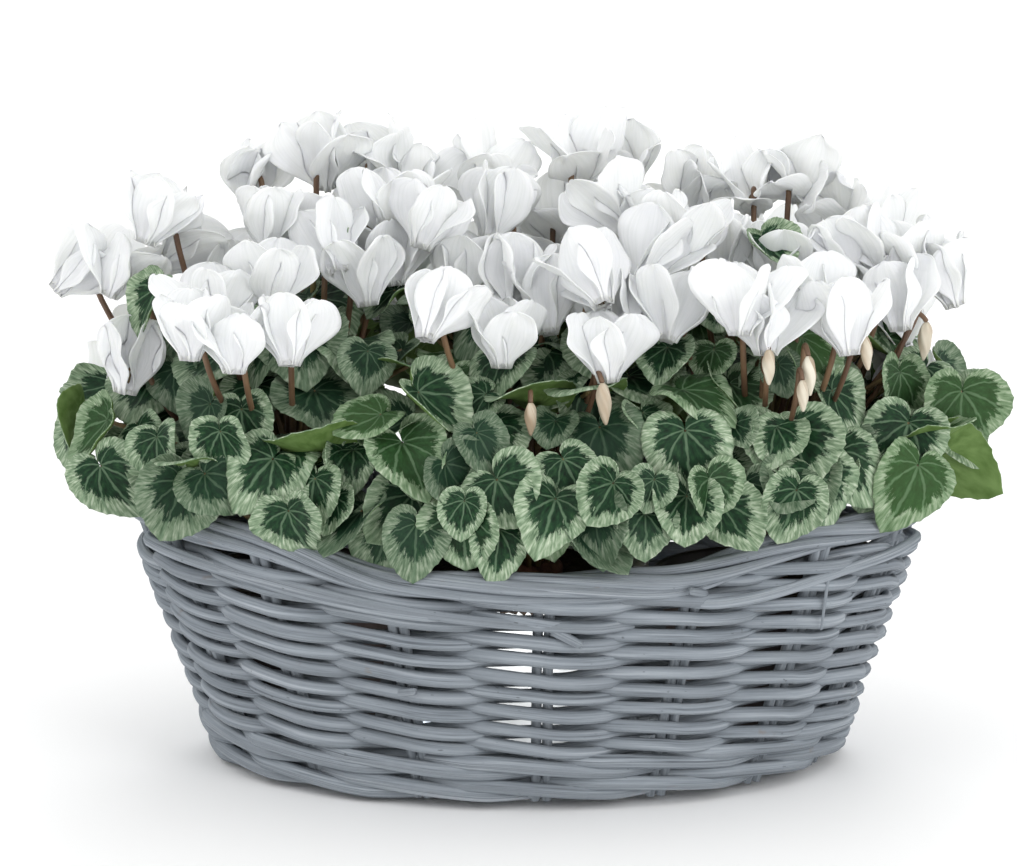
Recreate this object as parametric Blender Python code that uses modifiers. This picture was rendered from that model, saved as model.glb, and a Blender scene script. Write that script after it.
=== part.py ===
"""Potted cyclamen: three white cyclamens in nursery pots, standing in an oval willow basket.

Metres, +Z up. The origin is on the floor under the middle of the basket, +X runs along the
basket's length and -Y is its front. Every angle is in degrees, counter-clockwise from +X.
"""

import math

import bmesh
import bpy
from mathutils import Vector

# --- Basket -------------------------------------------------------------------------------
RIM_HALF_LENGTH = 0.200
RIM_HALF_WIDTH = 0.140
FOOT_HALF_LENGTH = 0.155
FOOT_HALF_WIDTH = 0.107
BASKET_HEIGHT = 0.126  # at the middle of the front
END_RAISE = 0.014  # how much higher the border runs at the two ends
RAISE_FROM, RAISE_TO = 0.30, 0.72  # share of the half length over which it climbs
FOOT_HEIGHT = 0.012
BASE_UNDERSIDE = 0.004
WEAVE_THICKNESS = 0.008
STAKE_RADIUS = 0.0028
STAKE_PAIRS = 16
FIRST_STAKE = 272.3
BORDER_RADIUS = 0.0085
HAND_HOLD_HEIGHT = 0.015
HAND_HOLD_HALF_WIDTH = 0.040
OVAL_STEPS = 48
TUBE_ROUNDNESS = 1  # a curve bevel_resolution: six sides

# --- Pots ---------------------------------------------------------------------------------
POT_SPACING = 0.111
POT_TAPER = 0.68  # the foot's radius as a share of the rim's
POT_WALL = 0.0012
POT_LIP = 0.0020
SOIL_DEPTH_BELOW_RIM = 0.008
TURNED_STEPS = 20

# --- Plants -------------------------------------------------------------------------------
CORM_RADIUS = 0.017
CORM_FLATNESS = 0.65
PETIOLE_RADIUS = 0.0015
LEAF_RING = 0.012  # where leaf stalks leave the crown
LEAF_THICKNESS = 0.0012
LEAF_BREADTH = 0.72  # narrows the heart to about as wide as it is long
FLOWER_RING = 0.006
STALK_RADIUS = 0.0014
PETAL_THICKNESS = 0.0012
PETAL_LENGTH = 0.040
HOOK_RADIUS = 0.006
MOUTH_RADIUS = 0.0055

GAP = 0.0003  # between pieces that touch

COLOURS = {
    "willow": ((0.33, 0.35, 0.38, 1.0), 0.75),
    "dark_pot": ((0.05, 0.035, 0.03, 1.0), 0.45),
    "white_pot": ((0.85, 0.86, 0.86, 1.0), 0.40),
    "compost": ((0.035, 0.022, 0.015, 1.0), 0.95),
    "corm": ((0.16, 0.05, 0.035, 1.0), 0.60),
    "leaf": ((0.10, 0.22, 0.11, 1.0), 0.55),
    "flower": ((0.90, 0.91, 0.90, 1.0), 0.50),
}

# Each plant's pot: its place along X, the radius of its rim, its height and its colour.
POTS = {
    "left": (-POT_SPACING, 0.050, 0.080, "dark_pot"),
    "middle": (0.0, 0.060, 0.088, "white_pot"),
    "right": (POT_SPACING, 0.050, 0.080, "dark_pot"),
}

# Each plant has a pair of leaves for each of these places round the rim: a low one that
# hangs over the rim there, and a high one nearer the crown, turned a little further round.
RIM_PLACES = {
    "left": (130, 150, 170, 190, 210, 230),
    "middle": (70, 90, 110, 250, 270, 290),
    "right": (310, 330, 350, 10, 30, 50),
}
LOW_LEAF_CLEARANCE = 0.013  # of its joint above the border
LOW_LEAF_DROOP = 25
LOW_LEAF_LENGTH = 0.047
HIGH_LEAF_TURN = 14
HIGH_LEAF_REACH = 0.050
HIGH_LEAF_HEIGHTS = (0.184, 0.170)
HIGH_LEAF_DROOP = 16
HIGH_LEAF_LENGTH = 0.040

# Flowers of each plant: direction, reach from the crown and height of the nodding mouth.
FLOWERS = {
    "left": (
        (186, 0.103, 0.218),
        (228, 0.078, 0.208),
        (261, 0.080, 0.214),
        (290, 0.056, 0.240),
        (350, 0.036, 0.266),
        (50, 0.055, 0.262),
        (88, 0.078, 0.232),
        (153, 0.066, 0.240),
    ),
    "middle": (
        (234, 0.080, 0.208),
        (297, 0.082, 0.209),
        (330, 0.050, 0.230),
        (20, 0.040, 0.262),
        (54, 0.072, 0.270),
        (111, 0.078, 0.245),
        (160, 0.040, 0.272),
        (200, 0.040, 0.236),
    ),
    "right": (
        (7, 0.100, 0.218),
        (42, 0.066, 0.240),
        (75, 0.078, 0.232),
        (118, 0.058, 0.262),
        (185, 0.034, 0.266),
        (235, 0.056, 0.240),
        (268, 0.080, 0.212),
        (307, 0.078, 0.209),
    ),
}


# --- Helpers ------------------------------------------------------------------------------
def clear_scene():
    for obj in list(bpy.data.objects):
        bpy.data.objects.remove(obj, do_unlink=True)


def new_collection(name):
    made = bpy.data.collections.new(name)
    bpy.context.scene.collection.children.link(made)
    return made


def make_materials():
    made = {}
    for name, (colour, roughness) in COLOURS.items():
        material = bpy.data.materials.new(name)
        material.use_nodes = True
        shader = material.node_tree.nodes["Principled BSDF"]
        shader.inputs["Base Color"].default_value = colour
        shader.inputs["Roughness"].default_value = roughness
        shader.inputs["Metallic"].default_value = 0.0
        made[name] = material
    return made


UP = Vector((0.0, 0.0, 1.0))


def smoothstep(low, high, value):
    share = min(1.0, max(0.0, (value - low) / (high - low)))
    return share * share * (3 - 2 * share)


def heading(angle):
    """The level unit vector in this direction."""
    return Vector((math.cos(math.radians(angle)), math.sin(math.radians(angle)), 0.0))


def add_object(name, data, material, smooth=True):
    obj = bpy.data.objects.new(name, data)
    parts.objects.link(obj)
    data.materials.append(materials[material])
    if smooth and isinstance(data, bpy.types.Mesh):
        data.shade_smooth()
        data.set_sharp_from_angle(angle=math.radians(40))
    return obj


def mesh_from(name, bm):
    bmesh.ops.recalc_face_normals(bm, faces=bm.faces[:])
    mesh = bpy.data.meshes.new(name)
    bm.to_mesh(mesh)
    bm.free()
    return mesh


def add_ring_faces(bm, rings):
    """The skin of a closed ring through equal loops of points that go once round its section."""
    loops = [[bm.verts.new(point) for point in ring] for ring in rings]
    for near, far in zip(loops, loops[1:] + loops[:1], strict=True):
        for i, corner in enumerate(near):
            after = (i + 1) % len(near)
            bm.faces.new((corner, near[after], far[after], far[i]))


def ring_loft(name, rings, material):
    bm = bmesh.new()
    add_ring_faces(bm, rings)
    return add_object(name, mesh_from(name, bm), material)


def turned(name, profile, material, centre):
    """A solid turned about the upright axis through centre, from a profile of (radius, height)."""
    mesh = bpy.data.meshes.new(name)
    points = [(radius, 0.0, height) for radius, height in profile]
    mesh.from_pydata(points, [(i, i + 1) for i in range(len(points) - 1)], [])
    obj = add_object(name, mesh, material, smooth=False)
    obj.location = centre
    screw = obj.modifiers.new("turn", "SCREW")
    screw.steps = screw.render_steps = TURNED_STEPS
    screw.use_merge_vertices = True
    screw.merge_threshold = 0.0001
    return obj


def tube_mesh(points, radius):
    """A closed round tube through the points."""
    curve = bpy.data.curves.new("tube", "CURVE")
    curve.dimensions = "3D"
    curve.bevel_depth = radius
    curve.bevel_resolution = TUBE_ROUNDNESS
    curve.use_fill_caps = True
    spline = curve.splines.new("POLY")
    spline.points.add(len(points) - 1)
    for target, point in zip(spline.points, points, strict=True):
        target.co = (*point, 1.0)
    obj = bpy.data.objects.new("tube", curve)
    bpy.context.scene.collection.objects.link(obj)
    bpy.context.view_layer.update()
    graph = bpy.context.evaluated_depsgraph_get()
    mesh = bpy.data.meshes.new_from_object(obj.evaluated_get(graph))
    bpy.data.objects.remove(obj, do_unlink=True)
    bm = bmesh.new()
    bm.from_mesh(mesh)
    bmesh.ops.remove_doubles(bm, verts=bm.verts[:], dist=0.00002)
    return mesh_from("tube", bm)


def thickened(mesh, thickness):
    """The closed plate made from an open sheet, the same amount to either side."""
    obj = bpy.data.objects.new("sheet", mesh)
    bpy.context.scene.collection.objects.link(obj)
    solidify = obj.modifiers.new("thickness", "SOLIDIFY")
    solidify.thickness = thickness
    solidify.offset = 0.0
    graph = bpy.context.evaluated_depsgraph_get()
    made = bpy.data.meshes.new_from_object(obj.evaluated_get(graph))
    bpy.data.objects.remove(obj, do_unlink=True)
    return made


def union(name, meshes, material):
    """One solid from overlapping closed meshes."""
    first, *others = [bpy.data.objects.new(f"{name}_{i}", mesh) for i, mesh in enumerate(meshes)]
    bpy.context.scene.collection.objects.link(first)
    for other in others:
        cutters.objects.link(other)
        join = first.modifiers.new(other.name, "BOOLEAN")
        join.operation = "UNION"
        join.solver = "EXACT"
        join.object = other
    bpy.context.view_layer.update()
    graph = bpy.context.evaluated_depsgraph_get()
    joined = bpy.data.meshes.new_from_object(first.evaluated_get(graph))
    joined.materials.clear()
    for obj in (first, *others):
        bpy.data.objects.remove(obj, do_unlink=True)
    return add_object(name, joined, material)


def bezier(start, pull, end, steps):
    """Points along the quadratic curve from start to end that leaves and arrives towards pull."""
    shares = [i / steps for i in range(steps + 1)]
    return [(1 - s) ** 2 * start + 2 * s * (1 - s) * pull + s * s * end for s in shares]


# --- Basket -------------------------------------------------------------------------------
def raise_at(x):
    return END_RAISE * smoothstep(RAISE_FROM, RAISE_TO, abs(x) / RIM_HALF_LENGTH)


def hand_hold_at(x, y):
    """How far the weave stops short of the border, over the hand hold at each end."""
    at_end = 0.0 if abs(x) < RIM_HALF_LENGTH / 2 else 1.0
    return at_end * HAND_HOLD_HEIGHT * (1 - smoothstep(0.72, 1.0, abs(y) / HAND_HOLD_HALF_WIDTH))


def wall_point(angle, height, inset):
    """A point this far inside the wall's outer face. The wall flares evenly from foot to rim."""
    share = height / BASKET_HEIGHT
    length = FOOT_HALF_LENGTH + (RIM_HALF_LENGTH - FOOT_HALF_LENGTH) * share - inset
    width = FOOT_HALF_WIDTH + (RIM_HALF_WIDTH - FOOT_HALF_WIDTH) * share - inset
    along = heading(angle)
    return Vector((length * along.x, width * along.y, height))


def border_middle(angle, above):
    """A point this far above the border's middle line."""
    rim = wall_point(angle, BASKET_HEIGHT, BORDER_RADIUS)
    return rim + (raise_at(rim.x) - BORDER_RADIUS + above) * UP


def border_underside(angle):
    return border_middle(angle, -BORDER_RADIUS).z


def oval_angles():
    return [360 * i / OVAL_STEPS for i in range(OVAL_STEPS)]


def weave_top(angle):
    rim = wall_point(angle, BASKET_HEIGHT, 0.0)
    return border_underside(angle) - GAP - hand_hold_at(rim.x, rim.y)


def make_border():
    """The thick edge that the stakes' ends are worked into, as one ring of round section."""
    sides = 6
    rings = []
    for side in range(sides):
        turn = math.radians(360 * side / sides)
        out, up = BORDER_RADIUS * math.cos(turn), BORDER_RADIUS * math.sin(turn)
        rings.append([border_middle(a, up) + out * heading(a) for a in oval_angles()])
    ring_loft("border", rings, "willow")


def make_base():
    bm = bmesh.new()
    bmesh.ops.create_cone(
        bm,
        cap_ends=True,
        segments=OVAL_STEPS,
        radius1=1.0,
        radius2=1.0,
        depth=FOOT_HEIGHT - BASE_UNDERSIDE,
    )
    inset = WEAVE_THICKNESS + GAP
    size = Vector((FOOT_HALF_LENGTH - inset, FOOT_HALF_WIDTH - inset, 1.0))
    bmesh.ops.scale(bm, vec=size, verts=bm.verts[:])
    bmesh.ops.translate(bm, vec=(0, 0, (FOOT_HEIGHT + BASE_UNDERSIDE) / 2), verts=bm.verts[:])
    add_object("base", mesh_from("base", bm), "willow")


def make_foot():
    """The ring of heavy weave that the basket stands on."""
    rings = [
        [Vector((x_half * heading(a).x, y_half * heading(a).y, z)) for a in oval_angles()]
        for x_half, y_half, z in (
            (FOOT_HALF_LENGTH, FOOT_HALF_WIDTH, 0.0),
            (FOOT_HALF_LENGTH, FOOT_HALF_WIDTH, FOOT_HEIGHT),
            (FOOT_HALF_LENGTH - WEAVE_THICKNESS, FOOT_HALF_WIDTH - WEAVE_THICKNESS, FOOT_HEIGHT),
            (FOOT_HALF_LENGTH - WEAVE_THICKNESS, FOOT_HALF_WIDTH - WEAVE_THICKNESS, 0.0),
        )
    ]
    ring_loft("foot", rings, "willow")


def stake_mesh(angle, shift):
    """One rod up the inside of the weave, half sunk in it, that reaches up to the border."""
    bottom = wall_point(angle, FOOT_HEIGHT + 0.001, WEAVE_THICKNESS)
    top = wall_point(angle, border_underside(angle) - 0.001, WEAVE_THICKNESS)
    side = (wall_point(angle + 1, 0, 0) - wall_point(angle - 1, 0, 0)).normalized()
    return tube_mesh([bottom + shift * side, top + shift * side], STAKE_RADIUS)


def make_woven_side():
    """The weave as one band, worked round sixteen pairs of stakes."""
    bm = bmesh.new()
    rings = []
    for height, inset in (
        (lambda a: FOOT_HEIGHT + GAP, 0.0),
        (weave_top, 0.0),
        (weave_top, WEAVE_THICKNESS),
        (lambda a: FOOT_HEIGHT + GAP, WEAVE_THICKNESS),
    ):
        rings.append([wall_point(a, height(a), inset) for a in oval_angles()])
    add_ring_faces(bm, rings)
    meshes = [mesh_from("weave", bm)]
    for number in range(STAKE_PAIRS):
        angle = FIRST_STAKE + 360 * number / STAKE_PAIRS
        meshes += [stake_mesh(angle, shift) for shift in (-0.0023, 0.0023)]
    union("woven_side", meshes, "willow")


def make_basket():
    make_foot()
    make_base()
    make_woven_side()
    make_border()


# --- Pots, compost and corms --------------------------------------------------------------
POT_FLOOR = FOOT_HEIGHT + GAP  # the height that the pots stand at


def soil_top(plant):
    return POT_FLOOR + POTS[plant][2] - SOIL_DEPTH_BELOW_RIM


def pot_radius(plant, height):
    """The outer radius of the pot's side this far above its foot, without the lip."""
    _, rim, tall, _ = POTS[plant]
    body = rim - POT_LIP
    return body * (POT_TAPER + (1 - POT_TAPER) * height / tall)


def make_pot(plant):
    x, rim, tall, colour = POTS[plant]
    lip_low = tall - 0.010
    profile = [
        (0.0, POT_WALL),
        (pot_radius(plant, POT_WALL) - POT_WALL, POT_WALL),
        (pot_radius(plant, tall) - POT_WALL, tall),
        (rim, tall),
        (pot_radius(plant, lip_low) + POT_LIP, lip_low),
        (pot_radius(plant, lip_low), lip_low - 0.001),
        (pot_radius(plant, 0.0), 0.0),
        (0.0, 0.0),
    ]
    turned(f"pot_{plant}", profile, colour, (x, 0.0, POT_FLOOR))


def corm_dimple(steps):
    """The hollow in the compost that the corm sits in, from its middle out to the surface."""
    across, deep = CORM_RADIUS + 2 * GAP, CORM_RADIUS * CORM_FLATNESS + 2 * GAP
    angles = [math.pi / 2 * i / steps for i in range(steps + 1)]
    return [(across * math.sin(a), -deep * math.cos(a)) for a in angles]


def make_compost(plant):
    x, _, tall, _ = POTS[plant]
    low = POT_WALL + GAP
    high = tall - SOIL_DEPTH_BELOW_RIM
    side = POT_WALL + 2 * GAP
    profile = [(radius, high + drop) for radius, drop in corm_dimple(4)]
    profile += [(pot_radius(plant, high) - side, high), (pot_radius(plant, low) - side, low), (0.0, low)]
    turned(f"compost_{plant}", profile, "compost", (x, 0.0, POT_FLOOR))


def make_corm(plant):
    bm = bmesh.new()
    bmesh.ops.create_uvsphere(bm, u_segments=TURNED_STEPS, v_segments=8, radius=CORM_RADIUS)
    bmesh.ops.scale(bm, vec=(1.0, 1.0, CORM_FLATNESS), verts=bm.verts[:])
    obj = add_object(f"corm_{plant}", mesh_from("corm", bm), "corm")
    obj.location = (POTS[plant][0], 0.0, soil_top(plant))


# --- Leaves and flowers -------------------------------------------------------------------
def crown_point(plant, angle, ring):
    """Where a stalk leaves the plant's corm, just clear of the corm's skin."""
    rise = CORM_FLATNESS * math.sqrt(CORM_RADIUS**2 - ring**2)
    return Vector((POTS[plant][0], 0.0, soil_top(plant) + rise + 0.0006)) + ring * heading(angle)


def heart_reach(turn):
    """How far a heart's outline is from its joint, as a share of its length, this turn from its tip."""
    return 0.10 + 0.90 * abs(math.cos(turn / 2)) ** 1.3


def leaf_blade(joint, angle, droop, length):
    """A heart-shaped blade that arches away from its joint, with its tip towards angle."""
    points = 12
    down = math.radians(droop)
    tip = math.cos(down) * heading(angle) - math.sin(down) * UP
    side = heading(angle + 90)
    normal = tip.cross(side)
    bm = bmesh.new()
    middle = bm.verts.new(joint + 0.35 * length * tip)
    edge = []
    for i in range(points):
        turn = 2 * math.pi * i / points
        along = heart_reach(turn) * length * math.cos(turn)
        across = heart_reach(turn) * length * LEAF_BREADTH * math.sin(turn)
        sag = 4.0 * across**2 + 1.5 * max(0.0, along - 0.35 * length) ** 2
        edge.append(bm.verts.new(joint + along * tip + across * side - sag * normal))
    for i, corner in enumerate(edge):
        bm.faces.new((middle, corner, edge[(i + 1) % points]))
    return thickened(mesh_from("blade", bm), LEAF_THICKNESS)


def leaf_meshes(start, joint, angle, droop, length):
    """A leaf stalk that rises from start and bends over to the joint, and its blade."""
    pull = start + 0.30 * (joint - start) + 0.45 * (joint.z - start.z) * UP
    stalk = bezier(start, pull, joint + 0.003 * heading(angle), 4)
    return [tube_mesh(stalk, PETIOLE_RADIUS), leaf_blade(joint, angle, droop, length)]


def make_leaf_pair(plant, number, place):
    """Two leaves that share a foot on the crown."""
    over_rim = border_middle(place, BORDER_RADIUS + LOW_LEAF_CLEARANCE)
    from_crown = over_rim - Vector((POTS[plant][0], 0.0, 0.0))
    angle = math.degrees(math.atan2(from_crown.y, from_crown.x))
    start = crown_point(plant, angle, LEAF_RING)
    meshes = leaf_meshes(start, over_rim, angle, LOW_LEAF_DROOP, LOW_LEAF_LENGTH)
    angle += HIGH_LEAF_TURN
    height = HIGH_LEAF_HEIGHTS[number % 2]
    joint = Vector((POTS[plant][0], 0.0, height)) + HIGH_LEAF_REACH * heading(angle)
    meshes += leaf_meshes(start, joint, angle, HIGH_LEAF_DROOP, HIGH_LEAF_LENGTH)
    union(f"leaves_{plant}_{number}", meshes, "leaf")


def corolla(mouth, angle):
    """Five petals joined round the mouth, swept up and outwards from it, as one plate."""
    bm = bmesh.new()
    middle = bm.verts.new(mouth + 0.0015 * UP)
    rim = [bm.verts.new(mouth + MOUTH_RADIUS * heading(angle - 36 + 72 * i)) for i in range(5)]
    for i in range(5):
        low = (rim[i], rim[(i + 1) % 5])
        bm.faces.new((middle, *low))
        out, side = heading(angle + 72 * i), heading(angle + 72 * i + 90)
        for rise, spread, half in ((0.35, 0.0095, 0.0050), (0.72, 0.0155, 0.0082), (1.0, 0.0195, 0.0045)):
            centre = mouth + rise * PETAL_LENGTH * UP + spread * out
            high = (bm.verts.new(centre - half * side), bm.verts.new(centre + half * side))
            bm.faces.new((low[0], low[1], high[1], high[0]))
            low = high
    return thickened(mesh_from("corolla", bm), PETAL_THICKNESS)


def flower_stalk(start, mouth, angle):
    """A stalk that rises from the crown and hooks over, down into the middle of the mouth."""
    inward = -heading(angle)
    foot = mouth + 2 * HOOK_RADIUS * inward + 0.004 * UP
    pull = start + 0.15 * (foot - start) + 0.55 * (foot.z - start.z) * UP
    points = bezier(start, pull, foot, 4)
    centre = mouth + HOOK_RADIUS * inward + 0.004 * UP
    for turn in (60, 120):
        around = math.radians(turn)
        points.append(centre + HOOK_RADIUS * (math.cos(around) * inward + math.sin(around) * UP))
    return tube_mesh([*points, mouth + 0.0015 * UP], STALK_RADIUS)


def make_flower(plant, number, angle, reach, height):
    mouth = Vector((POTS[plant][0], 0.0, height)) + reach * heading(angle)
    start = crown_point(plant, angle, FLOWER_RING)
    union(f"flower_{plant}_{number}", [flower_stalk(start, mouth, angle), corolla(mouth, angle)], "flower")


def make_plant(plant):
    for number, place in enumerate(RIM_PLACES[plant], start=1):
        make_leaf_pair(plant, number, place)
    for number, (angle, reach, height) in enumerate(FLOWERS[plant], start=1):
        make_flower(plant, number, angle, reach, height)


clear_scene()
parts = new_collection("potted_cyclamen")
cutters = new_collection("cutters")
materials = make_materials()
make_basket()
for plant_name in POTS:
    make_pot(plant_name)
    make_compost(plant_name)
    make_corm(plant_name)
    make_plant(plant_name)
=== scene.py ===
"""The looks of the potted cyclamen: three plants in an oval basket of painted willow.

Metres. The frame's origin is on the floor under the middle of the basket, +X runs along the
basket and -Y is its front. Angles are in radians, counter-clockwise from +X as seen from above.
"""

import bpy
import numpy as np
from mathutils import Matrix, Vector, noise


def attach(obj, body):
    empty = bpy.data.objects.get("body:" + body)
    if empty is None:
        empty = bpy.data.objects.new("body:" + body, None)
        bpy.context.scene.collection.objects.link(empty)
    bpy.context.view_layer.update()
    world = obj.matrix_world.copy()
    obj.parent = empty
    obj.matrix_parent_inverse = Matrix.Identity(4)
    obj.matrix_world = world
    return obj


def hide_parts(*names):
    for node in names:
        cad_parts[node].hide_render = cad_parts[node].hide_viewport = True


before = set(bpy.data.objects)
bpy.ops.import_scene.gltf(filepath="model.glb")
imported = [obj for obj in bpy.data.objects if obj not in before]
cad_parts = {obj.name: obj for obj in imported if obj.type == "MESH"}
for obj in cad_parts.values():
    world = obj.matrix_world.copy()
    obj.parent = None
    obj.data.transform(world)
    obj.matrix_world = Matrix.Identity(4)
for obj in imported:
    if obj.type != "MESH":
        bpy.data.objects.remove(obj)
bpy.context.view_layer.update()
rng = np.random.default_rng(7)

# --- Driving dimensions --------------------------------------------------------------------
RIM = np.array([0.200, 0.140])  # half length and half width at the top
FOOT = np.array([0.155, 0.107])
BASKET_HEIGHT = 0.126
END_RAISE = 0.014
ROD = 0.0034  # radius of a weaving rod
STAKE = 0.0026  # radius of a stake
STAKE_PAIRS = 16
FIRST_STAKE = np.radians(272.3)
WEAVE_DEPTH = 0.0092  # of the stakes' middle line behind the weave's outer face
FIRST_ROW = 0.0318
ROW_PITCH = 0.0096
ROWS = 9
ROW_POINTS = 16 * 14
CROSSING = 0.0023  # how far a weaving rod rises and falls where it crosses its partner
HOLD_DIP = 0.0036  # of the top rows below the hand holds
PACKING = 0.1178  # height of the short rows beside the hand holds
PACKING_START = 1.10  # angles from the basket's end at which those rows begin and turn back
PACKING_TURN = 0.34
SIDE_WALE = 0.0165  # heights at which the bands of heavy weave begin
FOOT_WALE = 0.0050
WALE_RISE = 0.0075  # of such a band in one turn round the basket
BORDER_DEPTH = 0.0085
BORDER_BUNDLE = 0.0046  # radius of the bundle that the border's rods form
BASE_LEVEL = 0.0085
BASE_STICKS = 24
BASE_RINGS = 17

POTS = {"left": (-0.111, 0.050, 0.080), "middle": (0.0, 0.060, 0.088), "right": (0.111, 0.050, 0.080)}
POT_FLOOR = 0.0123
POT_TAPER = 0.68  # radius at the foot as share of that at the rim
POT_RIM = 0.0022  # how far the rim stands out
POT_LIP = 0.010  # height of the rim's band
SOIL_BELOW_RIM = 0.008
CORM_RADIUS = 0.017

LEAVES = 220
LEAF_SIZES = (0.017, 0.033)  # least and most distance from the stalk to the tip
SKIRT_LEAF_SIZES = (0.018, 0.028)
BLADE_THICKNESS = 0.0005
LEAF_STALK_RADII = (0.0017, 0.0011)  # at the foot and at the top
LEAF_NODES = 6  # for each plant in the CAD
HIDDEN_FLOWERS = 44  # those behind the heads listed below
PETALS = 5
PETAL_LENGTHS = (0.030, 0.036)
PETAL_HALF_WIDTHS = (0.0135, 0.0170)
PETAL_THICKNESS = 0.0004
FLOWER_STALK_RADII = (0.0017, 0.0013)
FLOWER_NODES = 8  # for each plant in the CAD
BUD_LENGTHS = (0.015, 0.021)
BUD_STALK_RADII = (0.0015, 0.0012)

UP = np.array([0.0, 0.0, 1.0])


# --- Materials -----------------------------------------------------------------------------
class Shader:
    """A node material built a node at a time."""

    def __init__(self, name, roughness, **constants):
        self.material = bpy.data.materials.new(name)
        self.material.use_nodes = True
        self.tree = self.material.node_tree
        self.principled = self.tree.nodes["Principled BSDF"]
        self.principled.inputs["Roughness"].default_value = roughness
        for socket, value in constants.items():
            self.principled.inputs[socket.replace("_", " ")].default_value = value

    def node(self, kind, inputs=(), **settings):
        made = self.tree.nodes.new("ShaderNode" + kind)
        for key, value in settings.items():
            setattr(made, key, value)
        for key, value in dict(inputs).items():
            if isinstance(value, bpy.types.NodeSocket):
                self.tree.links.new(value, made.inputs[key])
            else:
                made.inputs[key].default_value = value
        return made

    def math(self, operation, *values):
        return self.node("Math", dict(enumerate(values)), operation=operation).outputs[0]

    def uv(self, along=1.0, across=1.0, offset=None):
        """The surface's own coordinates, stretched; offset moves the pattern from piece to piece."""
        coordinates = self.node("UVMap", uv_map="surface").outputs[0]
        inputs = {0: coordinates, 1: (along, across, 1.0)}
        scaled = self.node("VectorMath", inputs, operation="MULTIPLY").outputs[0]
        if offset is None:
            return scaled
        spread = self.node("CombineXYZ", {"Z": self.math("MULTIPLY", offset, 40.0)}).outputs[0]
        return self.node("VectorMath", {0: scaled, 1: spread}).outputs[0]

    def noise(self, vector, scale, detail=4.0, roughness=0.5):
        inputs = {"Vector": vector, "Scale": scale, "Detail": detail, "Roughness": roughness}
        return self.node("TexNoise", inputs).outputs["Fac"]

    def attribute(self, name):
        return self.node("Attribute", attribute_name=name).outputs["Fac"]

    def ramp(self, factor, *stops):
        made = self.node("ValToRGB", {"Fac": factor})
        elements = made.color_ramp.elements
        while len(elements) < len(stops):
            elements.new(0.5)
        for element, (place, colour) in zip(elements, stops, strict=True):
            element.position = place
            element.color = (*colour, 1.0)
        return made.outputs["Color"]

    def mix(self, factor, first, second):
        made = self.node("Mix", data_type="RGBA")
        for index, value in ((0, factor), (6, first), (7, second)):
            if isinstance(value, bpy.types.NodeSocket):
                self.tree.links.new(value, made.inputs[index])
            else:
                made.inputs[index].default_value = (*value, 1.0) if index else value
        return made.outputs[2]

    def colour(self, socket):
        self.tree.links.new(socket, self.principled.inputs["Base Color"])

    def bump(self, height, strength, distance):
        inputs = {"Height": height, "Strength": strength, "Distance": distance}
        made = self.node("Bump", inputs)
        self.tree.links.new(made.outputs[0], self.principled.inputs["Normal"])

    def step(self, value, low, high):
        inputs = {"Value": value, "From Min": low, "From Max": high}
        return self.node("MapRange", inputs, interpolation_type="SMOOTHSTEP").outputs[0]


def willow_material():
    made = Shader("willow", 0.78, Specular_IOR_Level=0.22)
    tone = made.attribute("tone")
    streaks = made.noise(made.uv(14.0, 500.0, tone), 1.0, 5.0, 0.6)
    blotches = made.noise(made.uv(60.0, 90.0, tone), 1.0, 3.0)
    grey = made.ramp(
        streaks,
        (0.28, (0.070, 0.082, 0.096)),
        (0.42, (0.215, 0.243, 0.272)),
        (0.58, (0.330, 0.365, 0.402)),
        (0.78, (0.530, 0.565, 0.605)),
    )
    shade = made.mix(made.math("MULTIPLY", tone, 0.45), grey, (0.200, 0.222, 0.248))
    specks = made.noise(made.uv(220.0, 420.0, tone), 1.0, 2.0)
    speck = made.math("MULTIPLY", made.step(specks, 0.70, 0.78), 0.7)
    specked = made.mix(speck, shade, (0.09, 0.10, 0.11))
    worn = made.step(blotches, 0.70, 0.78)
    made.colour(made.mix(made.math("MULTIPLY", worn, 0.5), specked, (0.20, 0.16, 0.13)))
    made.bump(streaks, 0.7, 0.0009)
    return made.material


def plastic_material(name, colour, roughness):
    made = Shader(name, roughness)
    position = made.node("NewGeometry").outputs["Position"]
    grime = made.noise(position, 60.0, 4.0)
    darker = tuple(0.82 * c for c in colour)
    made.colour(made.ramp(grime, (0.35, darker), (0.65, colour)))
    return made.material


def compost_material():
    made = Shader("compost", 0.95)
    position = made.node("NewGeometry").outputs["Position"]
    grains = made.noise(position, 420.0, 6.0, 0.7)
    dark, brown, fibre = (0.012, 0.008, 0.006), (0.045, 0.028, 0.018), (0.12, 0.08, 0.05)
    made.colour(made.ramp(grains, (0.35, dark), (0.58, brown), (0.75, fibre)))
    made.bump(grains, 0.8, 0.002)
    return made.material


def corm_material():
    made = Shader("corm", 0.7)
    position = made.node("NewGeometry").outputs["Position"]
    bark = made.noise(position, 160.0, 5.0, 0.65)
    made.colour(made.ramp(bark, (0.35, (0.05, 0.02, 0.014)), (0.65, (0.20, 0.09, 0.06))))
    made.bump(bark, 0.6, 0.001)
    return made.material


VEINS = (0.0, 0.66, 1.30, 2.10)  # turns from the leaf's tip, to either side


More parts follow.
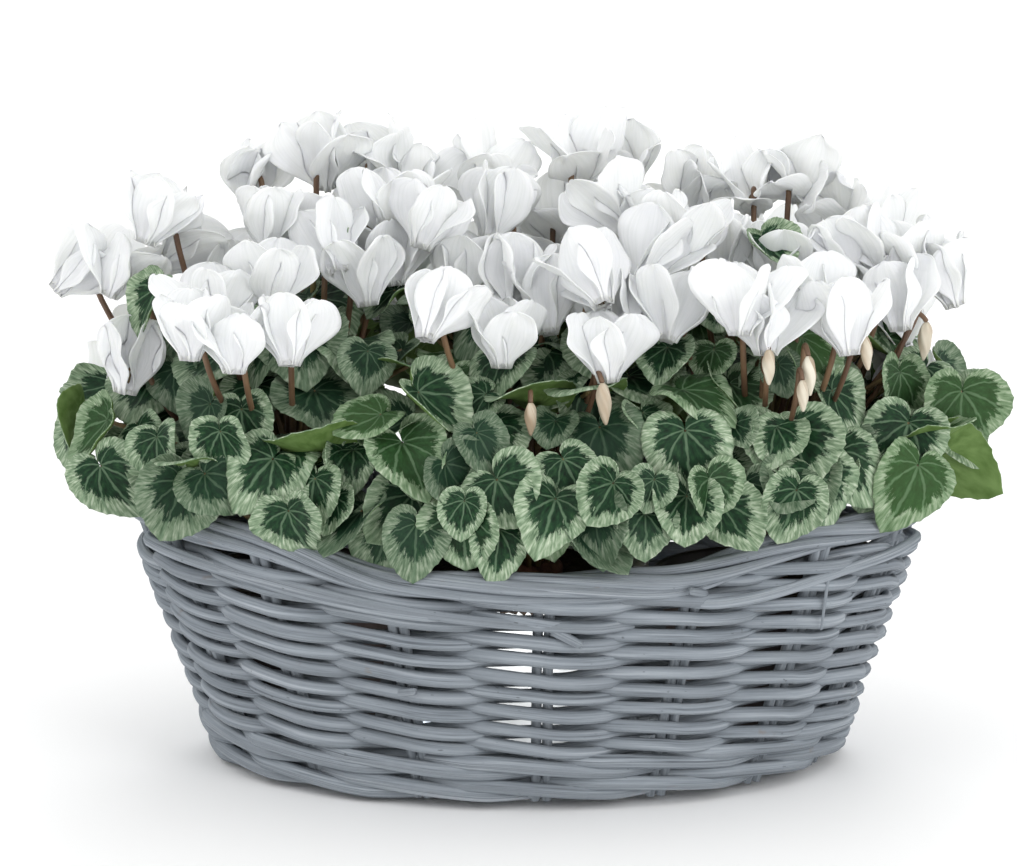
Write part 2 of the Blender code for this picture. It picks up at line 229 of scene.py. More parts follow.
def leaf_top_material():
    """Dark green, with a ragged silver margin and pale veins that fan out from the stalk."""
    made = Shader("leaf_top", 0.52, Specular_IOR_Level=0.18)
    tone = made.attribute("tone")
    plain = made.uv()
    split = made.node("SeparateXYZ", {0: plain})
    stray = made.noise(made.uv(2.0, 3.0, tone), 1.2, 3.0)
    stray = made.math("MULTIPLY", made.math("SUBTRACT", stray, 0.5), 0.30)
    turn = made.math("ABSOLUTE", made.math("ADD", split.outputs["X"], stray))
    reach = split.outputs["Y"]
    vein = None
    for place in VEINS:
        curved = made.math("MULTIPLY_ADD", reach, -0.30 * place, 1.12 * place)
        away = made.math("MULTIPLY", made.math("ABSOLUTE", made.math("SUBTRACT", turn, curved)), reach)
        vein = away if vein is None else made.math("MINIMUM", vein, away)
    ragged = made.noise(made.uv(7.0, 3.0, tone), 1.6, 5.0, 0.7)
    edge = made.math("ADD", reach, made.math("MULTIPLY", made.math("SUBTRACT", ragged, 0.5), 0.75))
    edge = made.math("SUBTRACT", edge, made.math("MULTIPLY", made.step(vein, 0.22, 0.0), 0.10))
    edge = made.math("SUBTRACT", edge, made.math("MULTIPLY", tone, 0.16))
    margin = made.step(edge, 0.50, 0.63)
    green = made.ramp(
        made.noise(made.uv(3.0, 3.0, tone), 2.0, 4.0),
        (0.30, (0.003, 0.013, 0.005)),
        (0.55, (0.009, 0.040, 0.015)),
        (0.80, (0.030, 0.085, 0.030)),
    )
    silver = made.ramp(
        made.noise(made.uv(10.0, 2.5, tone), 1.8, 5.0),
        (0.30, (0.085, 0.145, 0.078)),
        (0.50, (0.235, 0.325, 0.205)),
        (0.72, (0.540, 0.620, 0.470)),
    )
    both = made.mix(margin, green, silver)
    line = made.math("MULTIPLY", made.step(vein, 0.034, 0.008), 0.45)
    veined = made.mix(line, both, (0.20, 0.31, 0.19))
    young = made.math("MULTIPLY", made.step(tone, 0.80, 1.0), 0.30)
    fresh = made.mix(young, veined, (0.085, 0.180, 0.040))
    old = made.math("MULTIPLY", made.step(tone, 0.45, 0.0), 0.60)
    made.colour(made.mix(old, fresh, (0.012, 0.036, 0.020)))
    made.bump(made.math("ADD", made.step(vein, 0.06, 0.0), ragged), 0.25, 0.0008)
    return made.material


def leaf_under_material():
    made = Shader("leaf_under", 0.60, Specular_IOR_Level=0.2)
    patches = made.noise(made.uv(2.0, 2.0, made.attribute("tone")), 2.0, 4.0)
    made.colour(made.ramp(patches, (0.30, (0.085, 0.155, 0.035)), (0.70, (0.170, 0.270, 0.085))))
    return made.material


def stalk_material(name, dark, light):
    made = Shader(name, 0.5)
    patches = made.noise(made.uv(30.0, 60.0, made.attribute("tone")), 1.0, 3.0)
    made.colour(made.ramp(patches, (0.35, dark), (0.70, light)))
    return made.material


def petal_material():
    """White and slightly see-through, with faint veins along it and a tinge at its foot."""
    made = Shader("petal", 0.60, Subsurface_Weight=0.90, Subsurface_Scale=0.16)
    made.principled.inputs["Subsurface Radius"].default_value = (0.010, 0.010, 0.009)
    tone = made.attribute("tone")
    split = made.node("SeparateXYZ", {0: made.uv()})
    veins = made.noise(made.uv(1.2, 22.0, tone), 1.0, 4.0, 0.6)
    white = made.ramp(
        veins,
        (0.30, (0.80, 0.825, 0.82)),
        (0.50, (0.86, 0.88, 0.88)),
        (0.70, (0.89, 0.905, 0.91)),
    )
    foot = made.step(split.outputs["X"], 0.16, 0.0)
    made.colour(made.mix(made.math("MULTIPLY", foot, 0.45), white, (0.74, 0.76, 0.55)))
    made.bump(veins, 0.3, 0.0008)
    return made.material


def throat_material():
    made = Shader("throat", 0.6)
    patches = made.noise(made.uv(10.0, 30.0), 1.0, 3.0)
    made.colour(made.ramp(patches, (0.30, (0.08, 0.05, 0.03)), (0.70, (0.20, 0.15, 0.07))))
    return made.material


WILLOW = willow_material()
WHITE_PLASTIC = plastic_material("white_plastic", (0.86, 0.88, 0.88), 0.35)
DARK_PLASTIC = plastic_material("dark_plastic", (0.045, 0.035, 0.032), 0.40)
COMPOST = compost_material()
CORM = corm_material()
LEAF_TOP = leaf_top_material()
LEAF_UNDER = leaf_under_material()
LEAF_STALK = stalk_material("leaf_stalk", (0.16, 0.10, 0.05), (0.30, 0.24, 0.10))
FLOWER_STALK = stalk_material("flower_stalk", (0.10, 0.052, 0.030), (0.24, 0.145, 0.080))
PETAL = petal_material()
THROAT = throat_material()
BUD = stalk_material("bud", (0.40, 0.30, 0.20), (0.74, 0.70, 0.58))


# --- Meshes --------------------------------------------------------------------------------
class Body:
    """Vertices, faces, surface coordinates and material numbers gathered into one mesh."""

    def __init__(self, tone=0.5):
        self.points, self.faces, self.coordinates, self.slots, self.tones = [], [], [], [], []
        self.count, self.tone = 0, tone

    def grid(self, points, uv, slot=0, wrap=False, flip=False):
        """Quads over points (rows, columns, 3), with uv to match. Returns the vertex numbers."""
        rows, columns = points.shape[:2]
        numbers = self.count + np.arange(rows * columns).reshape(rows, columns)
        self.points.append(points.reshape(-1, 3))
        self.coordinates.append(uv.reshape(-1, 2))
        self.tones.append(np.full(rows * columns, self.tone, np.float32))
        self.count += rows * columns
        if wrap:
            numbers = np.hstack([numbers, numbers[:, :1]])
        corners = [numbers[:-1, :-1], numbers[:-1, 1:], numbers[1:, 1:], numbers[1:, :-1]]
        quads = np.stack(corners[::-1] if flip else corners, axis=-1).reshape(-1, 4)
        self.faces.append(quads)
        self.slots.append(np.full(len(quads), slot))
        return numbers

    def rod(self, path, radii, sides=10):
        """A willow rod, with a shade and a grain of its own."""
        self.tone = rng.uniform(0, 1)
        self.tube(path, radii, sides, start=rng.uniform(0, 9))

    def tube(self, path, radii, sides=8, slot=0, start=0.0):
        """A round tube along the path, closed at both ends by a small cone."""
        path = np.asarray(path, float)
        radii = np.broadcast_to(radii, len(path)).astype(float)
        along = np.gradient(path, axis=0)
        along /= np.linalg.norm(along, axis=1, keepdims=True)
        side = np.cross(along[0], UP if abs(along[0][2]) < 0.9 else [1.0, 0.0, 0.0])
        sides_at = []
        for tangent in along:
            side = side - tangent * side.dot(tangent)
            side = side / np.linalg.norm(side)
            sides_at.append(side)
        first = np.array(sides_at)
        second = np.cross(along, first)
        turns = np.linspace(0, 2 * np.pi, sides, endpoint=False)
        cosines, sines = np.cos(turns)[None, :, None], np.sin(turns)[None, :, None]
        ring = first[:, None] * cosines + second[:, None] * sines
        points = path[:, None] + ring * radii[:, None, None]
        tip = 0.0001  # radius left at the point of each cone
        low = path[0] - along[0] * radii[0] * 0.3 + ring[0] * tip
        high = path[-1] + along[-1] * radii[-1] * 0.3 + ring[-1] * tip
        points = np.concatenate([low[None], points, high[None]])
        lengths = np.concatenate([[0], np.cumsum(np.linalg.norm(np.diff(path, axis=0), axis=1))])
        lengths = start + np.concatenate([lengths[:1], lengths, lengths[-1:]])
        around = turns * radii.mean()
        uv = np.stack(np.meshgrid(lengths, around, indexing="ij"), axis=-1)
        numbers = self.grid(points, uv, slot, wrap=True)
        self.cap(numbers[0, :-1], slot)
        self.cap(numbers[-1, :-1][::-1], slot)

    def cap(self, ends, slot):
        """Closes a ring of an even number of vertices with quads."""
        half = len(ends) // 2
        quads = [(ends[i + 1], ends[-2 - i], ends[-1 - i], ends[i]) for i in range(half - 1)]
        self.faces.append(np.array(quads))
        self.slots.append(np.full(len(quads), slot))

    def plate(self, points, uv, thickness, top=0, under=0):
        """A closed plate from a grid of points, which are its upper face."""
        across = np.gradient(points, axis=1)
        down = np.gradient(points, axis=0)
        normal = np.cross(down, across)
        normal /= np.linalg.norm(normal, axis=2, keepdims=True) + 1e-12
        upper = self.grid(points, uv, top, flip=True)
        lower = self.grid(points - normal * thickness, uv, under)
        edges = (
            (upper[0], lower[0]),
            (upper[1:, -1], lower[1:, -1]),
            (upper[-1, ::-1][1:], lower[-1, ::-1][1:]),
            (upper[::-1, 0][1:], lower[::-1, 0][1:]),
        )
        above = np.concatenate([edge[0] for edge in edges])
        below = np.concatenate([edge[1] for edge in edges])
        quads = np.stack([above[:-1], above[1:], below[1:], below[:-1]], axis=-1)
        self.faces.append(quads)
        self.slots.append(np.full(len(quads), top))

    def build(self, name, materials, nodes=()):
        """Makes the object, which is shown in place of these CAD nodes."""
        points = np.concatenate(self.points)
        faces = np.concatenate(self.faces)
        mesh = bpy.data.meshes.new(name)
        mesh.from_pydata(points.tolist(), [], faces.tolist())
        mesh.polygons.foreach_set("material_index", np.concatenate(self.slots).astype(np.int32))
        mesh.polygons.foreach_set("use_smooth", np.ones(len(faces), bool))
        layer = mesh.uv_layers.new(name="surface")
        at_corners = np.concatenate(self.coordinates)[faces.reshape(-1)]
        layer.uv.foreach_set("vector", at_corners.reshape(-1).astype(np.float32))
        shade = mesh.attributes.new("tone", "FLOAT", "POINT")
        shade.data.foreach_set("value", np.concatenate(self.tones))
        for material in materials:
            mesh.materials.append(material)
        obj = bpy.data.objects.new(name, mesh)
        bpy.context.scene.collection.objects.link(obj)
        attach(obj, "root")
        if nodes:
            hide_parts(*nodes)


def smoothstep(low, high, value):
    """0 at low, 1 at high and a soft S between. Low may be the larger of the two."""
    share = np.clip((value - low) / (high - low), 0, 1)
    return share * share * (3 - 2 * share)


def wobble(count, size, waves):
    """A smooth random line of this many values, about as large as size."""
    places = np.linspace(0, waves, count)
    whole = rng.normal(0, 1, int(waves) + 3)
    low = places.astype(int)
    share = smoothstep(0, 1, places - low)
    return size * (whole[low] * (1 - share) + whole[low + 1] * share)


def bezier(points, count):
    """A cubic curve through its first and last points, pulled by the two between."""
    a, b, c, d = (np.asarray(p, float) for p in points)
    t = np.linspace(0, 1, count)[:, None]
    return (1 - t) ** 3 * a + 3 * t * (1 - t) ** 2 * b + 3 * t**2 * (1 - t) * c + t**3 * d


# --- Basket --------------------------------------------------------------------------------
def rim_raise(angle):
    """How much higher the border is here than at the middle of the front."""
    return END_RAISE * smoothstep(0.30, 0.72, np.abs(np.cos(angle)))


def wall(angle, height, depth):
    """Points this deep behind the weave's outer face."""
    share = height / BASKET_HEIGHT
    length = FOOT[0] + (RIM[0] - FOOT[0]) * share - depth
    width = FOOT[1] + (RIM[1] - FOOT[1]) * share - depth
    return np.stack([length * np.cos(angle), width * np.sin(angle), height + 0 * angle], axis=-1)


def row_swing(phase):
    """A twined rod's height, -1 to 1: it falls in front of the stakes and climbs late behind them."""
    half_turns = np.mod(phase + np.pi / 2, 2 * np.pi) / np.pi
    slant = np.cos(np.pi * half_turns)
    behind = 2 * smoothstep(1.62, 2.0, half_turns) - 1
    return np.where(half_turns < 1, np.sign(slant) * np.abs(slant) ** 0.8, behind)


def twined_row(body, height):
    """Two rods that cross between the stakes, each in front of every other pair of them."""
    angle = np.linspace(0, 2 * np.pi, ROW_POINTS + 1)
    phase = STAKE_PAIRS / 2 * (angle - FIRST_STAKE)
    lift = wobble(len(angle), 0.0009, 13)
    lift[-10:] = np.linspace(lift[-10], lift[0], 10)  # the row ends at the height where it began
    at_end = 1 - smoothstep(0.030, 0.055, np.abs(RIM[1] * np.sin(angle)))
    lift = lift - HOLD_DIP * at_end * smoothstep(0.080, 0.108, height)
    for turn in (0, np.pi):
        swing = np.cos(phase + turn)
        depth = WEAVE_DEPTH - (STAKE + ROD) * np.sign(swing) * np.abs(swing) ** 0.7
        level = height + lift + CROSSING * row_swing(phase + turn)
        radius = ROD * (1 + wobble(len(angle), 0.10, 17))
        body.rod(wall(angle, level, depth), radius)


def wale(body, low, turns):
    """Three rods that each pass in front of two pairs of stakes and behind one."""
    for strand in range(3):
        angle = np.linspace(0, 2 * np.pi * turns, int(ROW_POINTS * turns))
        phase = STAKE_PAIRS / 3 * (angle - FIRST_STAKE) + strand * 2 * np.pi / 3
        swing = np.clip(1.5 * np.cos(phase) + 0.4, -1, 1)
        depth = WEAVE_DEPTH - (STAKE + ROD) * swing
        level = low + WALE_RISE * angle / (2 * np.pi) - 0.0030 * np.sin(phase)
        level = level + wobble(len(angle), 0.0004, 20)
        radius = 1.08 * ROD * (1 + wobble(len(angle), 0.06, 24))
        body.rod(wall(angle, np.maximum(level, radius), depth), radius)


def border_line(angle, out, up):
    """Points this far out from the middle of the border, and this far above it."""
    middle = wall(angle, np.full_like(angle, BASKET_HEIGHT), BORDER_DEPTH)
    middle[:, 2] += rim_raise(angle) - BORDER_DEPTH
    middle[:, 0] += out * np.cos(angle)
    middle[:, 1] += out * np.sin(angle)
    middle[:, 2] += up
    return middle


def make_border():
    """The stakes' ends, laid along the rim so that each rises over those after it."""
    body = Body()
    strands = STAKE_PAIRS * 2
    for strand in range(strands):
        span = np.radians(rng.uniform(66, 110))
        start = FIRST_STAKE + 2 * np.pi * strand / strands + rng.normal(0, 0.02)
        share = np.linspace(0, 1, 40)
        angle = start + span * share
        turn = np.radians(200) - np.radians(330) * share
        reach = BORDER_BUNDLE + wobble(40, 0.0008, 4)
        radius = ROD * (1 + wobble(40, 0.08, 4)) * (1 - 0.35 * share)
        path = border_line(angle, reach * np.cos(turn), reach * np.sin(turn))
        body.rod(path, radius)
    body.build("border_rods", [WILLOW], ["border"])


def make_stakes(body):
    """Pairs of upright rods, from the floor into the border."""
    for number in range(STAKE_PAIRS):
        angle = FIRST_STAKE + 2 * np.pi * number / STAKE_PAIRS
        for shift in (-1.02 * STAKE, 1.02 * STAKE):
            top = BASKET_HEIGHT + rim_raise(angle) - BORDER_DEPTH
            level = np.linspace(0.004, top, 24)
            path = wall(np.full(24, angle), level, WEAVE_DEPTH)
            tangent = np.array([-RIM[0] * np.sin(angle), RIM[1] * np.cos(angle), 0.0])
            path += (shift + wobble(24, 0.0003, 5))[:, None] * tangent / np.linalg.norm(tangent)
            body.rod(path, STAKE)


def end_packing(body):
    """On each side of a hand hold, a rod that is woven up to it, turns back and is woven away again."""
    share = np.linspace(0, 1, 70)
    near = smoothstep(0.80, 1.0, share)
    for end in (0.0, np.pi):
        for side in (-1, 1):
            angle = end + side * (PACKING_START + (PACKING_TURN - PACKING_START) * share)
            phase = STAKE_PAIRS / 2 * (angle - FIRST_STAKE)
            strands = []
            for turn, apart in ((0, 0.0034), (np.pi, -0.0034)):
                depth = WEAVE_DEPTH - (STAKE + ROD) * np.cos(phase + turn) * (1 - near)
                depth = depth + 0.006 * smoothstep(0.18, 0.0, share)
                crossing = -0.0020 * np.sin(phase + turn) * (1 - near)
                strands.append(wall(angle, PACKING + crossing + apart * near, depth))
            out, back = strands
            heading = out[-1] - out[-3]
            heading = 0.007 * heading / np.linalg.norm(heading)
            bend = bezier((out[-1], out[-1] + heading, back[-1] + heading, back[-1]), 12)
            body.rod(np.concatenate([out, bend[1:-1], back[::-1]]), 0.9 * ROD)


def make_side():
    """The woven side and the heavy band at its foot."""
    body = Body()
    make_stakes(body)
    for row in range(ROWS):
        twined_row(body, FIRST_ROW + ROW_PITCH * row)
    end_packing(body)
    wale(body, SIDE_WALE, 1.0)
    body.build("woven_side_rods", [WILLOW], ["woven_side"])
    body = Body()
    wale(body, FOOT_WALE, 1.5)
    body.build("foot_rods", [WILLOW], ["foot"])


def make_base():
    """Rings of willow woven over and under the sticks of the base."""
    body = Body()
    for number in range(BASE_STICKS):
        angle = 2 * np.pi * number / BASE_STICKS
        edge = np.array([FOOT[0] * np.cos(angle), FOOT[1] * np.sin(angle), 0])
        path = np.linspace(0.06, 0.97, 12)[:, None] * edge
        body.rod(path + BASE_LEVEL * UP, 0.0024, 8)
    for ring in range(BASE_RINGS):
        share = 0.05 + 0.92 * ring / (BASE_RINGS - 1)
        angle = np.linspace(0, 2 * np.pi, BASE_STICKS * 8 + 1)
        level = BASE_LEVEL + 0.0030 * np.cos(BASE_STICKS / 2 * angle + np.pi * ring)
        path = np.stack([share * 0.147 * np.cos(angle), share * 0.100 * np.sin(angle), level], axis=-1)
        body.rod(path, 0.0031, 8)
    body.build("base_rods", [WILLOW], ["base"])


# Rods laid over the upper rows on a slant: first and last angle in degrees, first and last height.
SLANTED = (
    (196, 262, 0.122, 0.1035),
    (214, 286, 0.1165, 0.0965),
    (292, 348, 0.1060, 0.1200),
    (28, 84, 0.1175, 0.1010),
    (118, 160, 0.1040, 0.1190),
)
# Ends that stick out of the weave: angle in degrees, height, run along the side, rise and radius.
LOOSE_ENDS = (
    (273.6, 0.096, 0.014, -0.006, 0.0026),
    (296.0, 0.112, -0.012, 0.004, 0.0024),
    (248.0, 0.060, 0.016, 0.004, 0.0022),
)


def loose_rods():
    """The slanted rods, the ends that stick out of the weave and one thin broken rod."""
    body = Body()
    for degrees, level, along, rise, radius in LOOSE_ENDS:
        angle = np.radians(degrees)
        first = wall(np.array([angle]), np.array([level]), 0.004)[0]
        last = wall(np.array([angle + along / RIM[0]]), np.array([level + rise]), -0.0035)[0]
        path = first + np.linspace(0, 1, 8)[:, None] * (last - first)
        body.rod(path, radius * np.linspace(1.0, 0.8, 8))
    for start, end, high, low in SLANTED:
        angle = np.radians(np.linspace(start, end, 40))
        share = np.linspace(0, 1, 40)
        level = high + (low - high) * smoothstep(0, 1, share) + wobble(40, 0.0006, 4)
        depth = 0.0010 + 0.0016 * np.cos(STAKE_PAIRS / 2 * (angle - FIRST_STAKE))
        depth = depth + 0.009 * (smoothstep(0.10, 0.0, share) + smoothstep(0.90, 1.0, share))
        body.rod(wall(angle, level, depth), 0.0027 * (1 + wobble(40, 0.08, 5)))
    level, depth = np.linspace(0.116, 0.086, 12), np.linspace(0.002, -0.004, 12)
    broken = wall(np.full(12, np.radians(318.0)), level, depth)
    body.rod(broken, np.linspace(0.0010, 0.0006, 12), 8)
    body.build("loose_rod_ends", [WILLOW])


# --- Pots ----------------------------------------------------------------------------------
def lathe(body, profile, centre, steps, uneven=None):
    """A profile of radii and heights turned about an upright line, then moved by uneven."""
    turns = np.linspace(0, 2 * np.pi, steps, endpoint=False)
    profile = np.array(profile)
    points = np.empty((len(profile), steps, 3))
    points[..., 0] = centre[0] + profile[:, :1] * np.cos(turns)
    points[..., 1] = centre[1] + profile[:, :1] * np.sin(turns)
    points[..., 2] = centre[2] + profile[:, 1:]
    if uneven is not None:
        points = uneven(points)
    uv = np.stack(np.meshgrid(np.arange(len(profile)) * 0.01, turns * 0.05, indexing="ij"), axis=-1)
    return body.grid(points, uv, wrap=True)


def make_pot(plant, material):
    x, rim, tall = POTS[plant]
    foot = POT_TAPER * rim
    wide = rim - POT_RIM
    lip = tall - POT_LIP
    body = Body()
    profile = [
        # The inside, from the middle of the floor up to the rim.
        (0.0005, 0.0016), (foot - 0.004, 0.0016), (foot - 0.0012, 0.004),
        (wide - 0.0016, tall - 0.001), (wide - 0.0010, tall), (rim - 0.0006, tall),
        # The rim's band, the outside, and the underside with its ring to stand on.
        (rim, tall - 0.0008), (rim - 0.0006, lip + 0.0006), (rim - 0.0012, lip),
        (wide - 0.0022, lip - 0.0006), (foot + 0.001, 0.004), (foot, 0.001), (foot - 0.001, 0.0),
        (foot - 0.005, 0.0), (foot - 0.007, 0.0010), (0.0005, 0.0010),
    ]
    numbers = lathe(body, profile, (x, 0.0, POT_FLOOR), 72)
    body.cap(numbers[0, :-1][::-1], 0)
    body.cap(numbers[-1, :-1], 0)
    body.build(f"nursery_pot_{plant}", [material], [f"pot_{plant}"])


def crumbly(points):
    """Pushes the upper surface of the compost up and down in crumbs."""
    out = points.copy()
    for row in range(points.shape[0]):
        for column in range(points.shape[1]):
            place = Vector(points[row, column])
            height = 0.0014 * noise.noise(place * 220) + 0.0010 * noise.noise(place * 620)
            out[row, column, 2] += height
    return out


def make_compost(plant):
    """A disc of compost whose top lies a little below the pot's rim."""
    x, rim, tall = POTS[plant]
    top = tall - SOIL_BELOW_RIM - 0.002
    wide = rim - 0.0050
    body = Body()
    profile = [(r, top) for r in np.linspace(0.0005, wide, 34)]
    numbers = lathe(body, profile, (x, 0.0, POT_FLOOR), 90, crumbly)
    below = [(wide, top - 0.004), (0.72 * wide, 0.004), (0.0005, 0.004)]
    low = lathe(body, below, (x, 0.0, POT_FLOOR), 90)
    body.cap(numbers[0, :-1][::-1], 0)
    body.cap(low[-1, :-1], 0)
    bridge = np.stack([numbers[-1, :-1], numbers[-1, 1:], low[0, 1:], low[0, :-1]], axis=-1)
    body.faces.append(bridge)
    body.slots.append(np.zeros(len(bridge)))
    body.build(f"potting_compost_{plant}", [COMPOST], [f"compost_{plant}"])


def soil_top(plant):
    return POT_FLOOR + POTS[plant][2] - SOIL_BELOW_RIM


def lumpy(points):
    """Swells and shrinks a corm in lumps."""
    out = points.copy()
    centre = points.mean(axis=(0, 1))
    for row in range(points.shape[0]):
        for column in range(points.shape[1]):
            swell = 0.16 * noise.noise(Vector(points[row, column]) * 90)
            out[row, column] = centre + (points[row, column] - centre) * (1 + swell)
    return out


def make_corm(plant):
    turns = np.linspace(0.03, np.pi - 0.03, 22)
    profile = [(CORM_RADIUS * np.sin(t), 0.65 * CORM_RADIUS * np.cos(t)) for t in turns]
    body = Body()
    numbers = lathe(body, profile, (POTS[plant][0], 0.0, soil_top(plant) - 0.001), 48, lumpy)
    body.cap(numbers[0, :-1][::-1], 0)
    body.cap(numbers[-1, :-1], 0)
    body.build(f"tuber_{plant}", [CORM], [f"corm_{plant}"])


# --- Leaves --------------------------------------------------------------------------------
def basis(out, tip):
    """A matrix whose columns are the tip's direction, the side and the outward face."""
    normal = out / np.linalg.norm(out)
    tip = tip - normal * tip.dot(normal)
    tip = tip / np.linalg.norm(tip)
    return np.stack([tip, np.cross(normal, tip), normal], axis=1)


def heart(turn):
    """A cyclamen leaf's outline about its stalk, for a turn from its tip, with a fine toothed edge."""
    side = np.abs(turn) / np.pi
    plain = 0.06 + 0.56 * (1 - side**5) + 0.26 * np.cos(turn / 2) ** 4
    plain = plain + 0.14 * np.exp(-((turn / 0.30) ** 2))
    return plain * (1 + 0.012 * np.cos(34 * turn) + 0.010 * np.cos(21 * turn))


def add_blade(body, joint, axes, size):
    """A heart-shaped blade about its joint, cupped, folded and rippled by chance."""
    turns = np.linspace(-np.pi + 0.16, np.pi - 0.16, 85)
    rows = np.array([0.03, 0.25, 0.45, 0.62, 0.77, 0.89, 0.97, 1.0])
    turn, row = np.meshgrid(turns, rows)
    reach = row * heart(turn) * (1 + 0.05 * np.sin(turn * 2 + rng.uniform(0, 6)))
    x, y = reach * np.cos(turn), reach * np.sin(turn)
    y = y * rng.uniform(0.88, 1.12)
    cup = rng.uniform(-0.20, 0.45)
    fold = rng.uniform(0.02, 0.42)
    bend = rng.uniform(0.05, 0.60)
    ripple = rng.uniform(0.02, 0.075)
    curl = rng.uniform(-0.10, 0.14)
    z = cup * (x**2 + y**2) + fold * np.sqrt(y**2 + 0.01) - bend * np.maximum(x, 0) ** 2
    z = z + ripple * row**3 * np.sin(rng.integers(3, 7) * turn + rng.uniform(0, 6))
    z = z - curl * row**6
    local = np.stack([x, y, z], axis=-1) * size
    uv = np.stack([turn, row], axis=-1)
    body.plate(joint + local @ axes.T, uv, BLADE_THICKNESS, 0, 1)


def make_leaf(joint, out, tip, size):
    """One leaf: a heart-shaped blade and the stalk that carries it from the crown."""
    plant, number = next_of("leaf", joint)
    crown = np.array([POTS[plant][0], 0.0, soil_top(plant) + 0.006])
    away = joint - crown
    level = away * [1, 1, 0]
    heading = level / (np.linalg.norm(level) + 1e-9)
    foot = crown + 0.010 * heading + rng.normal(0, 0.002, 3) * [1, 1, 0]
    axes = basis(out, tip)
    body = Body(rng.uniform(0, 1))
    add_blade(body, joint, axes, size)
    rise = max(away[2], 0.03)
    pull = foot + 0.10 * level + 0.75 * rise * UP
    near = joint - 0.30 * np.linalg.norm(away) * (0.55 * heading + 0.30 * UP)
    path = bezier((foot, pull, near, joint - 0.0004 * axes[:, 2]), 20)
    body.tube(path, np.linspace(*LEAF_STALK_RADII, 20), 8, 2)
    materials = [LEAF_TOP, LEAF_UNDER, LEAF_STALK]
    node = f"leaves_{plant}_{number % LEAF_NODES + 1}"
    body.build(f"leaf_{plant}_{number:03d}", materials, [node])


made_so_far = {}  # how many pieces of each kind each plant has


def next_of(kind, place):
    """The plant that carries a piece at this place, and how many of its kind that plant has already."""
    spread = {plant: abs(place[0] - pot[0]) + rng.uniform(0, 0.02) for plant, pot in POTS.items()}
    plant = min(spread, key=spread.get)
    number = made_so_far.get((kind, plant), 0)
    made_so_far[kind, plant] = number + 1
    return plant, number


def spaced(count, draw, tries=24, others=()):
    """Points far from each other: of several draws, each time the one farthest from the rest."""
    chosen = []
    while len(chosen) < count:
        options = [draw() for _ in range(tries)]
        placed = np.array([*others, *chosen, options[0] + 9.0])
        gaps = [np.linalg.norm(placed - option, axis=1).min() for option in options]
        chosen.append(options[int(np.argmax(gaps))])
    return chosen


FOLIAGE = np.array([0.224, 0.139])  # half length and half width of the leaves' dome


def draw_leaf_place():
    """A point in the leaves' dome, which falls away to its edge."""
    share = np.sqrt(rng.uniform(0.02, 1.0))
    angle = rng.uniform(0, 2 * np.pi)
    flat = share * FOLIAGE * [np.cos(angle), np.sin(angle)]
    low = 0.146 + 0.018 * np.cos(angle) ** 2
    height = low + 0.062 * (1 - share**4) + rng.uniform(-0.012, 0.012)
    return np.array([flat[0], flat[1], height])


def leaf_facing(joint, tilt, swing, roll):
    """The outward face and the tip of a leaf that leans out of the basket by the tilt."""
    outward = np.array([joint[0] / FOLIAGE[0] ** 2, joint[1] / FOLIAGE[1] ** 2, 0.0])
    outward = outward / (np.linalg.norm(outward) + 1e-6)
    # Leaves in the front half turn to the front.
    outward[1] -= 0.75 * smoothstep(0.06, -0.02, joint[1])
    outward = outward / (np.linalg.norm(outward) + 1e-6)
    turned = np.array([
        outward[0] * np.cos(swing) - outward[1] * np.sin(swing),
        outward[0] * np.sin(swing) + outward[1] * np.cos(swing),
        0.0,
    ])
    out = np.sin(tilt) * turned + np.cos(tilt) * UP
    tip = np.cos(tilt) * turned - np.sin(tilt) * UP
    tip = tip + roll * np.cross(out, tip)
    return out, tip / np.linalg.norm(tip)


# Leaves that stand apart: joint, upper face, tip and size. The first shows its pale underside.
LONE_LEAVES = (
    ((0.198, -0.030, 0.158), (-0.25, 0.80, 0.45), (0.85, 0.10, -0.45), 0.032),
    ((-0.097, -0.030, 0.270), (-0.20, -0.75, 0.60), (-0.30, -0.40, -0.70), 0.019),
    ((-0.178, -0.040, 0.243), (-0.60, -0.40, 0.60), (-0.50, -0.20, -0.50), 0.023),
    ((0.048, -0.050, 0.228), (0.15, -0.70, 0.70), (0.20, -0.60, -0.60), 0.024),
    ((0.114, -0.030, 0.265), (0.30, -0.60, 0.70), (0.50, -0.40, -0.50), 0.019),
)


# Rings of leaves that lean over the border: count, then least and most of the reach as share of the
# rim, of the rise over it and of the tilt in degrees.
SKIRTS = (
    (58, 0.925, 0.975, 0.020, 0.036, 46, 74),
    (46, 0.780, 0.880, 0.028, 0.048, 34, 62),
)


def make_leaves():
    """The dome of leaves, the rings at the border and the few that stand apart."""
    for joint in spaced(LEAVES, draw_leaf_place):
        share = np.linalg.norm(joint[:2] / FOLIAGE)
        tilt = np.radians(16 + 50 * share**2.2 + rng.normal(0, 15))
        # A few lean inward.
        if rng.random() < 0.06:
            tilt = -0.6 * tilt
        out, tip = leaf_facing(joint, tilt, rng.normal(0, 0.35), rng.normal(0, 0.5))
        make_leaf(joint - 0.010 * tip, out, tip, rng.uniform(*LEAF_SIZES))
    for count, near, far, low, high, least, most in SKIRTS:
        for number in range(count):
            angle = 2 * np.pi * (number + rng.uniform(-0.35, 0.35)) / count
            reach = rng.uniform(near, far)
            height = BASKET_HEIGHT + rim_raise(angle) + rng.uniform(low, high)
            x, y = reach * RIM[0] * np.cos(angle), reach * RIM[1] * np.sin(angle)
            joint = np.array([x, y, height])
            tilt = np.radians(rng.uniform(least, most))
            out, tip = leaf_facing(joint, tilt, rng.normal(0, 0.22), rng.normal(0, 0.35))
            make_leaf(joint, out, tip, rng.uniform(*SKIRT_LEAF_SIZES))
    for joint, out, tip, size in LONE_LEAVES:
        make_leaf(np.array(joint), np.array(out), np.array(tip), size)


